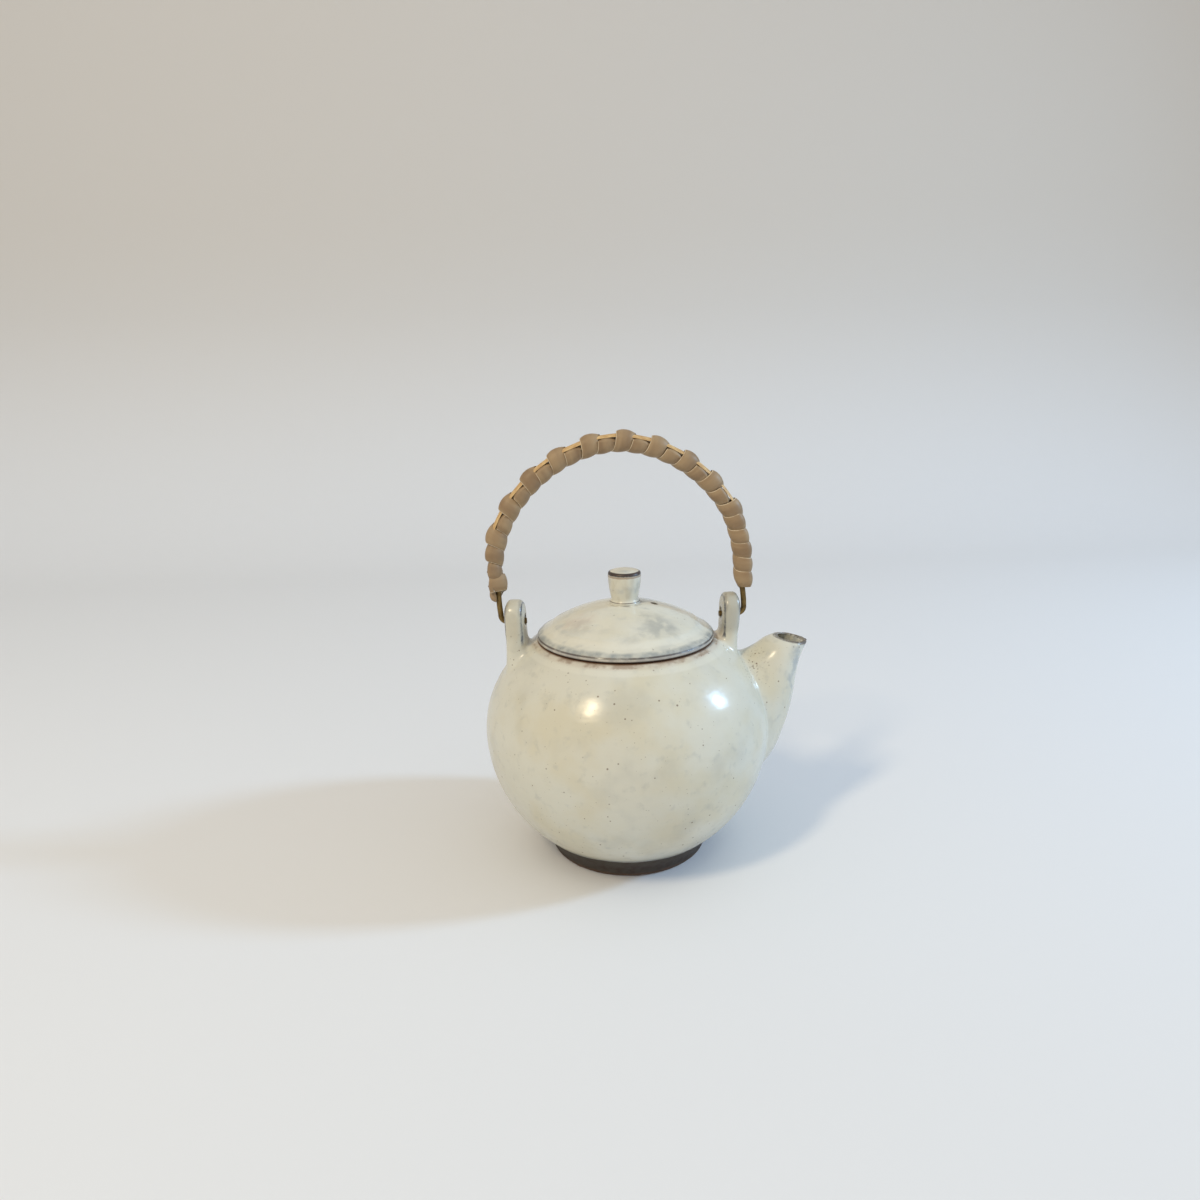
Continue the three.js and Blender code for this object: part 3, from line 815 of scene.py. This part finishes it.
# Colours are written as they show, in sRGB from 0 to 255.
def colour(red, green, blue):
    return tuple(((part / 255 + 0.055) / 1.055) ** 2.4 for part in (red, green, blue)) + (1,)


# A distance in mm between two places, given their offsets along two axes
def distance(first, second):
    return (first**2 + second**2) ** 0.5


class Finish:
    def __init__(self, name):
        self.material = bpy.data.materials.new(name)
        self.material.use_nodes = True
        self.tree = self.material.node_tree
        self.surface = self.tree.nodes["Principled BSDF"]
        place = self.node("TexCoord", {}, "Object")
        self.place = self.node("VectorMath", {"Vector": place, "Scale": 1000.0}, operation="SCALE")
        axes = self.node("SeparateXYZ", {0: self.place})
        self.x, self.y, self.z = (Value(self.tree, output) for output in axes.socket.node.outputs)
        self.radius = distance(self.x - axisX, self.y)

    def node(self, kind, values, output=0, **settings):
        node = self.tree.nodes.new("ShaderNode" + kind)
        for name, value in settings.items():
            setattr(node, name, value)
        for name, value in values.items():
            feed(self.tree, node.inputs[name], value)
        return Value(self.tree, node.outputs[output])

    def attribute(self, name):
        return self.node("Attribute", {}, "Fac", attribute_name=name)

    # Soft noise from 0 to 1, whose blotches are about as large as size in mm.
    def noise(self, size, detail, stretch=(1, 1, 1), shift=0.0):
        values = {0: self.place, 1: stretch, 2: (shift,) * 3}
        scaled = self.node("VectorMath", values, operation="MULTIPLY_ADD")
        return self.node("TexNoise", {"Vector": scaled, "Scale": 1 / size, "Detail": detail})

    # Round spots with a spacing and a radius in mm, on a share of the cells.
    def spots(self, spacing, radius, share, shift=0.0):
        moved = self.node("VectorMath", {0: self.place, 1: (shift,) * 3}, operation="ADD")
        cell = self.node("TexVoronoi", {"Vector": moved, "Scale": 1 / spacing}, "Distance")
        colours = Value(self.tree, cell.socket.node.outputs["Color"])
        keep = self.node("SeparateXYZ", {0: colours}, "X").above(1 - share)
        wide = self.node("SeparateXYZ", {0: colours}, "Y") * 0.7 + 0.45
        return self.ramp(cell * spacing / wide, radius, radius * 0.45) * keep

    # From 0 at start to 1 at end; start may be the higher one.
    def ramp(self, value, start, end):
        values = {"Value": value, "From Min": start, "From Max": end}
        return self.node("MapRange", values, interpolation_type="SMOOTHSTEP")

    # A line of a given half width at a place of a value.
    def line(self, value, place, halfWidth):
        return self.ramp((value - place).size(), halfWidth, halfWidth * 0.3)

    def blend(self, share, first, second):
        node = self.tree.nodes.new("ShaderNodeMix")
        node.data_type = "RGBA"
        for name, value in (("Factor_Float", share), ("A_Color", first), ("B_Color", second)):
            place = next(entry for entry in node.inputs if entry.identifier == name)
            feed(self.tree, place, value)
        return Value(self.tree, node.outputs[2])

    def bump(self, height, reach, strength):
        values = {"Height": height, "Distance": reach * mm, "Strength": strength}
        feed(self.tree, self.surface.inputs["Normal"], self.node("Bump", values))

    def set(self, **values):
        for name, value in values.items():
            feed(self.tree, self.surface.inputs[name.replace("_", " ")], value)


glazeLook = {
    "cream": colour(212, 209, 193),
    "warm": colour(208, 200, 174),
    "grey": colour(150, 153, 150),
    "blue": colour(146, 154, 160),
    "haze": colour(136, 142, 142),
    "brown": colour(58, 42, 34),
    "rust": colour(124, 86, 58),
    "pink": colour(196, 168, 150),
    "clay": colour(66, 59, 51),
    "speck": colour(104, 82, 62),
    "slate": colour(86, 89, 97),
    "dark": colour(42, 40, 44),
    "pale": colour(226, 223, 208),
    "shade": colour(190, 183, 162),
}


# White glaze over dark clay: cloudy patches, specks, and brown where it breaks over an edge.
class Glaze(Finish):
    def __init__(self, name):
        super().__init__(name)
        self.cloud = self.noise(22, 3, shift=3.0)
        self.mottle = self.noise(4.5, 5, shift=11.0)
        self.fine = self.noise(0.9, 3, shift=5.0)
        self.tint = glazeLook["cream"]
        self.tone(self.ramp(self.cloud, 0.38, 0.68) * 0.75, "warm")
        self.tone(self.ramp(self.noise(17, 4, shift=61.0), 0.48, 0.75) * 0.2, "grey")
        self.tone(self.ramp(self.mottle, 0.54, 0.8) * 0.28, "grey")
        self.tone(self.spots(3.4, 0.5, 0.5).most(self.spots(1.7, 0.24, 0.5, 7.0) * 0.7) * 0.75, "speck")
        self.breaks = self.ramp(self.attribute("edge") + (self.mottle - 0.5) * 0.12, 0.2, 0.34)

    # Lays a share of a tone of glazeLook over what is there.
    def tone(self, share, name):
        self.tint = self.blend(share, self.tint, glazeLook[name])

    # A value from least to least + span that follows the mottling between two of its levels.
    def patchy(self, start, end, span, least):
        return self.ramp(self.mottle, start, end) * span + least

    # Ends with the broken edges, the ridges' slate lines, the bare clay and the surface.
    def close(self, bare, ridges=0.0):
        breaks, fine = self.breaks, self.fine
        edgeTone = self.blend(self.ramp(fine, 0.5, 0.8) * 0.6, glazeLook["brown"], glazeLook["rust"])
        self.tint = self.blend(breaks * 0.85, self.tint, edgeTone)
        self.tone(ridges, "slate")
        glazed = self.tint
        self.tint = glazeLook["clay"]
        self.tone(self.ramp(self.noise(3, 4), 0.4, 0.75), "brown")
        self.tone(self.ramp(self.z + self.mottle * 2, 3.6, 1.2) * 0.5, "rust")
        self.tone(self.ramp(self.z, 96, 98) * 0.75, "rust")
        ripple = self.noise(14, 2, (1, 1, 2.5), 1.0) * 0.35 + fine * 0.02 - breaks * 0.04
        self.bump(ripple + bare * (self.noise(0.7, 4) * 0.2 - 0.1), 1.0, 0.5)
        self.set(Base_Color=self.blend(bare, glazed, self.tint))
        self.set(Roughness=0.2 + breaks * 0.2 + bare * 0.5 + self.cloud * 0.06)
        self.set(Coat_Weight=(1 - bare) * 0.08, Coat_Roughness=0.1, Specular_IOR_Level=0.45)
        return self.material


# Smears on the lid: x, y, reach, tone and strength
lidSmears = [
    (3, -21, 11, "grey", 0.5),
    (-30, -12, 10, "pink", 0.25),
    (-30, -17, 7, "grey", 0.2),
    (-9, -30, 5, "grey", 0.2),
]
lidMarks = {
    "brim": (35.3, 37.3),  # radii over which the haze comes in
    "rim": (37.4, 37.9),
    "crease": lidShape["ridgeRadius"] + 1.6,
    "edgeLine": 1.75,  # heights over the seat
    "face": (1.6, 1.3),
    "underEdge": (0.7, 0.4),
    "band": 1.35,  # depths under the knob's top
    "rustLine": 2.7,
}


def glazeLid():
    glaze = Glaze("lid_glaze")
    ramp, line, tone, noise, patchy = glaze.ramp, glaze.line, glaze.tone, glaze.noise, glaze.patchy
    z, radius, mottle, fine = glaze.z, glaze.radius, glaze.mottle, glaze.fine
    height = z - lidSeat
    onRim = ramp(radius, *lidMarks["rim"])
    onKnob = ramp(radius, 8.5, 7.6)

    # Cloudy smears over a paler ground
    tone(0.45, "pale")
    smear = noise(8, 5, (0.8, 1.3, 1.3), 17.0)
    broad = ramp(noise(20, 2, shift=29.0), 0.4, 0.65)
    tone(ramp(smear, 0.46, 0.7) * (broad * 0.38 + 0.05), "blue")
    tone(ramp(noise(11, 4, shift=51.0), 0.5, 0.72) * 0.3, "warm")
    for x, y, reach, toneName, strength in lidSmears:
        away = distance(glaze.x - x, glaze.y - y) + (smear - 0.5) * reach * 1.6
        cloudy = ramp(away, reach, reach * 0.25) * patchy(0.35, 0.6, 0.8, 0.35)
        tone(cloudy * strength, toneName)

    # The brim's haze behind a pale crease, and the rim's pink face between its broken edges
    wavy = radius + (noise(7, 4, shift=23.0) - 0.5) * 2.4
    tone(line(wavy, lidMarks["crease"], 1.6) * 0.4, "pale")
    tone(ramp(wavy, *lidMarks["brim"]) * patchy(0.3, 0.62, 0.5, 0.3), "haze")
    tone(ramp(height, *lidMarks["face"]) * onRim * 0.2, "pink")
    broken = ramp(noise(5, 4, shift=37.0), 0.3, 0.5)
    edgeLine = line(height, lidMarks["edgeLine"], 0.3 + fine * 0.35) * onRim
    breaks = (glaze.breaks * (1 - onRim)).most(edgeLine * (broken * 0.5 + 0.45))
    breaks = breaks.most(ramp(height, *lidMarks["underEdge"]) * onRim)

    # The knob: streaks, a rusty line under the dark band of its top, and a thin ring at its foot
    fromTop = knobTop - z + (fine - 0.5) * 0.5
    streaks = ramp(noise(2.6, 4, (1, 1, 0.4), 41.0), 0.45, 0.7) * onKnob
    tone(streaks * ramp(fromTop, 2, 3) * 0.45, "shade")
    tone(line(fromTop, lidMarks["rustLine"], 0.6) * onKnob * 0.6, "rust")
    band = line(fromTop, lidMarks["band"], 1.25) * ramp(radius, 6, 6.5)
    tone(ramp(band, 0.1, 0.7) * 0.92, "dark")
    ring = line(z, knobFoot + 0.2, 0.4) * onKnob
    breaks = breaks.most(ring * ramp(mottle, 0.45, 0.6) * 0.5)

    fromSteam = distance(glaze.x - lidShape["steamX"], glaze.y)
    glaze.breaks = breaks.most(ramp(fromSteam, 2.4, 1.4) * 0.8)
    return glaze.close(ramp(height, 0.1, 0.02) * ramp(radius, 32, 33))


potMarks = {
    "fringe": 0.6,  # over the line where the glaze stops
    "shelf": (97.9, 98.2),  # heights
    "collar": (96.2, 97.2),
    "paleHighlightRing": 42.6,  # a radius
    "rusty": (41.6, 40.8),
    "cluster": (46, 87),  # x and z of the rusty specks at the spout's root
    "smokeHeight": (66, 76),
    "lugHeight": (98, 103),
    "shadedLug": (0, 20),  # x over which the shade on the spout's lug comes in
}


# Slate lines along the lugs' edges, as the most of both lugs
def lugRidges(glaze):
    ridges = 0.0
    overFoot = glaze.ramp(glaze.z, 97, 99)
    halfWidth = lugShape["width"] / 2
    for lug in lugs.values():
        cosine, sine = cos(lug["turn"]), sin(lug["turn"])
        away = glaze.x - (axisX + lug["middle"])
        toFace = (away * cosine + glaze.y * sine).size() / (lug["thickness"] / 2)
        above = (glaze.z - lugShape["top"] + halfWidth).most(0)
        toSide = distance(glaze.y * cosine - away * sine, above) / halfWidth
        corner = glaze.ramp(toFace.least(toSide) + (glaze.fine - 0.5) * 0.15, 0.7, 0.8)
        ridges = (corner * glaze.ramp(toFace, 1.6, 1.3) * overFoot).most(ridges)
    return ridges * glaze.patchy(0.35, 0.6, 0.6, 0.3)


def glazePot():
    glaze = Glaze("pot_glaze")
    ramp, line, tone, noise = glaze.ramp, glaze.line, glaze.tone, glaze.noise
    x, z, radius, mottle, fine = glaze.x, glaze.z, glaze.radius, glaze.mottle, glaze.fine

    # Bare clay under a wavy fringe and on the shelf that the lid hides
    fringe = z + (noise(9, 2, shift=2.0) - 0.5) * 1.1 + (mottle - 0.5) * 0.7
    glazeHeight = potShape["glazeHeight"]
    bare = ramp(fringe, glazeHeight + 0.5, glazeHeight - 0.3) * ramp(radius, 28, 29)
    onShelf = ramp(radius, 32, 33) * ramp(radius, 40.4, 39.8)
    bare = bare.most(ramp(z, *potMarks["shelf"]) * onShelf)
    thin = line(fringe, glazeHeight + potMarks["fringe"], 1.0) * ramp(radius, 52, 50)
    tone(thin * 0.75, "grey")

    # The collar: a pale ring that is partly cream glaze and partly a painted highlight, then pink and rusty
    # patches
    collar = ramp(z, *potMarks["collar"]) * ramp(radius, 43.5, 42.5)
    patches = ramp(noise(6, 5, shift=8.0), 0.4, 0.62)
    # Partly painted highlight: a pale ring over the collar's outer edge
    tone(line(radius, potMarks["paleHighlightRing"], 1.8) * ramp(z, 94, 95) * 0.35, "pale")
    tone(collar * 0.2, "pink")
    tone(ramp(radius + fine * 1.2, *potMarks["rusty"]) * collar * patches * 0.55, "rust")

    # The spout: specks at its root, a broken lip and smoke down its front
    clusterX, clusterZ = potMarks["cluster"]
    fromCluster = distance(x - clusterX, z - clusterZ) + mottle * 4
    cluster = glaze.spots(1.6, 0.5, 0.4, 13.0).most(ramp(fine, 0.6, 0.7) * 0.8)
    tone(cluster * ramp(fromCluster, 11, 5) * 0.85, "speck")
    toLip = (x - axisX - spoutTip[0]) * tiltSine + (z - spoutTip[1]) * tiltCosine
    lip = ramp(toLip + (fine - 0.5) * 1.2 + (mottle - 0.5) * 1.2, -1, -0.4)
    lipMiddle = axisX + spoutTip[0] - spoutShape["mouthLength"] / 2 * tiltCosine
    lip = lip * ramp(distance(x - lipMiddle, glaze.y), 8.2, 7.5)
    breaks = glaze.breaks.most(lip * (ramp(fine, 0.3, 0.6) * 0.6 + 0.35))
    smoke = ramp(x - (z - 70) * 0.25, 55, 61) * ramp(z, *potMarks["smokeHeight"])
    tone(smoke * ramp(mottle, 0.42, 0.62) * 0.5, "blue")

    onLug = ramp(z, *potMarks["lugHeight"])
    tone(onLug * 0.55, "shade")
    # Painted shade: the spout's lug is darkened further with grey
    tone(onLug * ramp(x, *potMarks["shadedLug"]) * 0.35, "grey")
    glaze.breaks = breaks * (1 - onLug * 0.5)
    return glaze.close(bare, lugRidges(glaze))


# Cane or leather with its grain along a piece
def canes(name, light, dark, acrossScale, alongScale):
    finish = Finish(name)
    across = finish.attribute("across")
    fibre = {0: finish.attribute("along") * alongScale, 1: across * acrossScale, 2: 0.3}
    place = finish.node("CombineXYZ", fibre)
    grain = finish.node("TexNoise", {"Vector": place, "Scale": 1.0, "Detail": 3.0})
    patches = finish.noise(6, 2, shift=9.0)
    tint = finish.blend(finish.ramp(grain, 0.3, 0.7), dark, light)
    tint = finish.blend(finish.ramp(patches, 0.45, 0.75) * 0.25, tint, dark)
    finish.set(Base_Color=tint, Roughness=0.42 + grain * 0.16, Specular_IOR_Level=0.4)
    finish.bump(grain * 0.12 + patches * 0.1, 0.5, 0.6)
    return finish, tint, across


wireLook = {"bright": colour(132, 108, 64), "dull": colour(96, 76, 44), "metallic": 0.85}


def brassWire():
    finish = Finish("bail_brass")
    tarnish = finish.noise(2.5, 4)
    tint = finish.blend(finish.ramp(tarnish, 0.35, 0.7), wireLook["bright"], wireLook["dull"])
    finish.set(Base_Color=tint, Metallic=wireLook["metallic"], Roughness=0.34 + tarnish * 0.2)
    finish.bump(tarnish, 0.1, 0.4)
    return finish.material


caneLook = {
    "slipLight": colour(218, 186, 132),
    "slipDark": colour(186, 146, 94),
    "coreLight": colour(160, 126, 84),
    "coreDark": colour(120, 92, 60),
}


def leaderCane():
    finish, _, _ = canes("slip_cane", caneLook["slipLight"], caneLook["slipDark"], 14, 60)
    return finish.material


def coreCane():
    finish = Finish("core_cane")
    tint = finish.blend(finish.noise(1.2, 3), caneLook["coreDark"], caneLook["coreLight"])
    finish.set(Base_Color=tint, Roughness=0.6)
    return finish.material


bandLook = {
    "light": colour(164, 138, 104),
    "dark": colour(140, 114, 84),
    "scuffAndHighlight": colour(222, 206, 176),
    "seamShade": colour(112, 88, 62),
    "edge": colour(206, 196, 174),
    "scuffHighlightPlace": 0.205,  # shares of the way round the band's section, from its middle
    "seamFrom": (0.235, 0.27),
    "edgeFrom": (0.31, 0.35),
}


# The band is a dull tan, with a pale line near one edge of its top that is partly rubbed wear and partly a
# painted highlight, and painted shade darkening its sides where the next turn meets it.
def tanBand():
    finish, tint, across = canes("band_tan", bandLook["light"], bandLook["dark"], 5, 40)
    fromMiddle = (across - 0.5).size()
    rubbed = finish.ramp(finish.noise(3, 3, shift=4.0), 0.3, 0.55)
    # Partly rubbed wear and partly a painted highlight: a pale line near one edge of the band's top
    scuffAndHighlight = finish.line(0.5 - across, bandLook["scuffHighlightPlace"], 0.03) * (rubbed * 0.6 + 0.3)
    tint = finish.blend(scuffAndHighlight, tint, bandLook["scuffAndHighlight"])
    # Painted shade: the band's sides are darkened where the next turn meets them
    tint = finish.blend(finish.ramp(fromMiddle, *bandLook["seamFrom"]) * 0.7, tint, bandLook["seamShade"])
    tint = finish.blend(finish.ramp(fromMiddle, *bandLook["edgeFrom"]), tint, bandLook["edge"])
    finish.set(Base_Color=tint)
    return finish.material


def dress(piece, material, body, slotName, *nodes):
    piece.data.materials.clear()
    piece.data.materials.append(material)
    makeActive(piece)
    bpy.ops.object.shade_smooth_by_angle(angle=smoothAngle)
    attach(piece, body)
    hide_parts(*nodes)


markEdges(pot, 3)
markEdges(lid, 1)
dress(pot, glazePot(), "pot", "pot_glaze", "pot")
dress(lid, glazeLid(), "lid", "lid_glaze", "lid")
dress(wire, brassWire(), "handle", "wire_brass", "handle_wire")
dress(leader, leaderCane(), "handle", "leader_cane", "leader_cane")
dress(strip, tanBand(), "handle", "wrap_strip", "wrap_strip")
coreMaterial = coreCane()
for place, piece in canePieces.items():
    dress(piece, coreMaterial, "handle", "core_cane", "core_cane_" + place)
print("Pieces dressed")


# The studio: a pale sweep, darkened and warmed up its wall as painted shade, a warm lamp from the front
# left, a cool one from the right and a soft fill. In m.
studio = {
    "floorFrom": -10.0,
    "bendFrom": 0.55,
    "bendRadius": 0.3,
    "wallPlace": 0.86,
    "wallHeight": 1.6,
    "width": 20.0,
    "floorColour": colour(228, 228, 228),
    "shadedWallColour": colour(213, 207, 199),
    "worldColour": (0.94, 0.97, 1.0, 1),
    "worldStrength": 0.65,
}


def makeSweep():
    radius = studio["bendRadius"]
    outline = [(studio["floorFrom"], 0.0), (studio["bendFrom"], 0.0)]
    for angle in np.linspace(0.1, 1.5, 15):
        outline.append((studio["bendFrom"] + radius * sin(angle), radius - radius * cos(angle)))
    outline += [(studio["wallPlace"], studio["wallHeight"])]
    deselectAll()
    bpy.ops.mesh.primitive_grid_add(x_subdivisions=len(outline) - 1, y_subdivisions=1, size=2)
    sweep = bpy.context.object
    for vertex in sweep.data.vertices:
        y, z = outline[int((vertex.co.x + 1) / 2 * (len(outline) - 1) + 0.5)]
        vertex.co = (vertex.co.y / 2 * studio["width"], y, z)
    sweep.name = "paper_sweep"
    bpy.ops.object.shade_smooth()
    return sweep


sweep = makeSweep()
paper = Finish("paper")
# Painted shade: the sweep's colour goes from the floor's to a darker, warmer one up the wall
risen = paper.ramp(paper.z, -20, 420)
paper.set(
    Base_Color=paper.blend(risen, studio["floorColour"], studio["shadedWallColour"]),
    Roughness=0.9,
    Specular_IOR_Level=0.1,
)
sweep.data.materials.append(paper.material)

lampDistance = 1.5
lamps = {
    "warm_lamp": ((-0.47, -0.5, 0.743), (0.15, 0.34), 8, (1.0, 0.83, 0.56), 180),
    "cool_lamp": ((0.89, -0.04, 0.445), (0.14, 0.2), 4.9, (0.43, 0.68, 1.0), 120),
}  # direction, size, power, tint and spread
for name, (direction, size, power, tint, spread) in lamps.items():
    data = bpy.data.lights.new(name, "AREA")
    data.shape = "RECTANGLE"
    data.size, data.size_y = size
    data.energy = power
    data.color = tint
    data.spread = radians(spread)
    lamp = bpy.data.objects.new(name, data)
    bpy.context.collection.objects.link(lamp)
    aim = Vector(direction).normalized()
    lamp.location = aim * lampDistance + Vector((axisX * mm, 0, 0.08))
    lamp.rotation_euler = aim.to_track_quat("Z", "Y").to_euler()

world = bpy.data.worlds.new("soft_room")
world.use_nodes = True
world.node_tree.nodes["Background"].inputs["Color"].default_value = studio["worldColour"]
world.node_tree.nodes["Background"].inputs["Strength"].default_value = studio["worldStrength"]
bpy.context.scene.world = world
print("Studio lit")

view = {
    "place": (-39.8, -378.4, 217.25),
    "turnedAway": radians(3),
    "lowered": radians(15.09),
    "rolled": radians(-1.33),
    "lens": 27,
    "sensor": 36,
}


def addCamera():
    turnedAway, lowered, rolled = view["turnedAway"], view["lowered"], view["rolled"]
    right = Vector((cos(turnedAway), -sin(turnedAway), 0))
    level = cos(lowered)
    forward = Vector((sin(turnedAway) * level, cos(turnedAway) * level, -sin(lowered)))
    upward = right.cross(forward)
    cosine, sine = cos(rolled), sin(rolled)
    columns = (right * cosine + upward * sine, upward * cosine - right * sine, -forward)
    data = bpy.data.cameras.new("camera")
    data.lens = view["lens"]
    data.sensor_width = view["sensor"]
    camera = bpy.data.objects.new("camera", data)
    bpy.context.collection.objects.link(camera)
    place = Matrix.Translation(Vector(view["place"]) * mm)
    camera.matrix_world = place @ Matrix(columns).transposed().to_4x4()
    bpy.context.scene.camera = camera


addCamera()
bpy.context.scene.view_settings.view_transform = "Standard"
